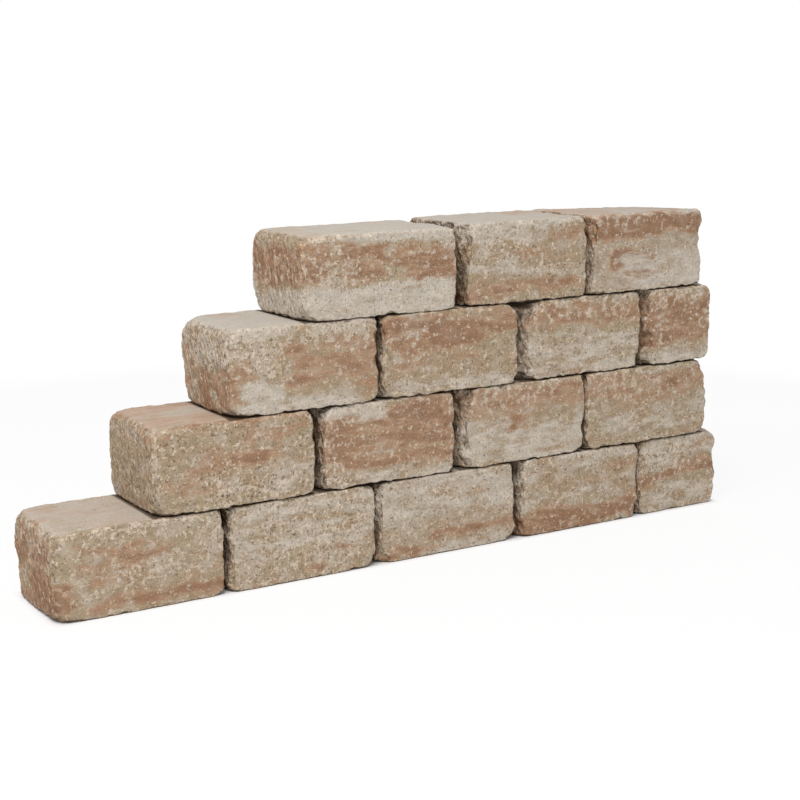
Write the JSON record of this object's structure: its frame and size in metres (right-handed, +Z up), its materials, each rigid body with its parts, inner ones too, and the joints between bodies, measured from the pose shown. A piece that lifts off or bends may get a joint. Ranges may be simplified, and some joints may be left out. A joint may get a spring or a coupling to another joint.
{
  "type": "stack of concrete walling blocks",
  "caption": "Dry stack of tumbled concrete walling blocks in half bond, stepped back course by course at one end and plumb at the other.",
  "frame": {"origin": "middle of the stack's footprint, on the ground", "axes": "+X along the stack towards its plumb end, +Y from the face to the back, +Z up"},
  "size_m": [1.3984, 0.204, 0.6],
  "materials": {
    "buff_concrete": "matte",
    "terracotta_concrete": "matte",
    "grey_concrete": "matte"
  },
  "bodies": {
    "root": {"course_1_block_1": "buff_concrete", "course_1_block_2": "buff_concrete", "course_1_block_3": "grey_concrete", "course_1_block_4": "buff_concrete", "course_1_closer": "buff_concrete", "course_2_block_1": "buff_concrete", "course_2_block_2": "terracotta_concrete", "course_2_block_3": "buff_concrete", "course_2_block_4": "buff_concrete", "course_3_block_1": "terracotta_concrete", "course_3_block_2": "terracotta_concrete", "course_3_block_3": "buff_concrete", "course_3_closer": "terracotta_concrete", "course_4_block_1": "terracotta_concrete", "course_4_block_2": "buff_concrete", "course_4_block_3": "grey_concrete"}
  },
  "joints": []
}
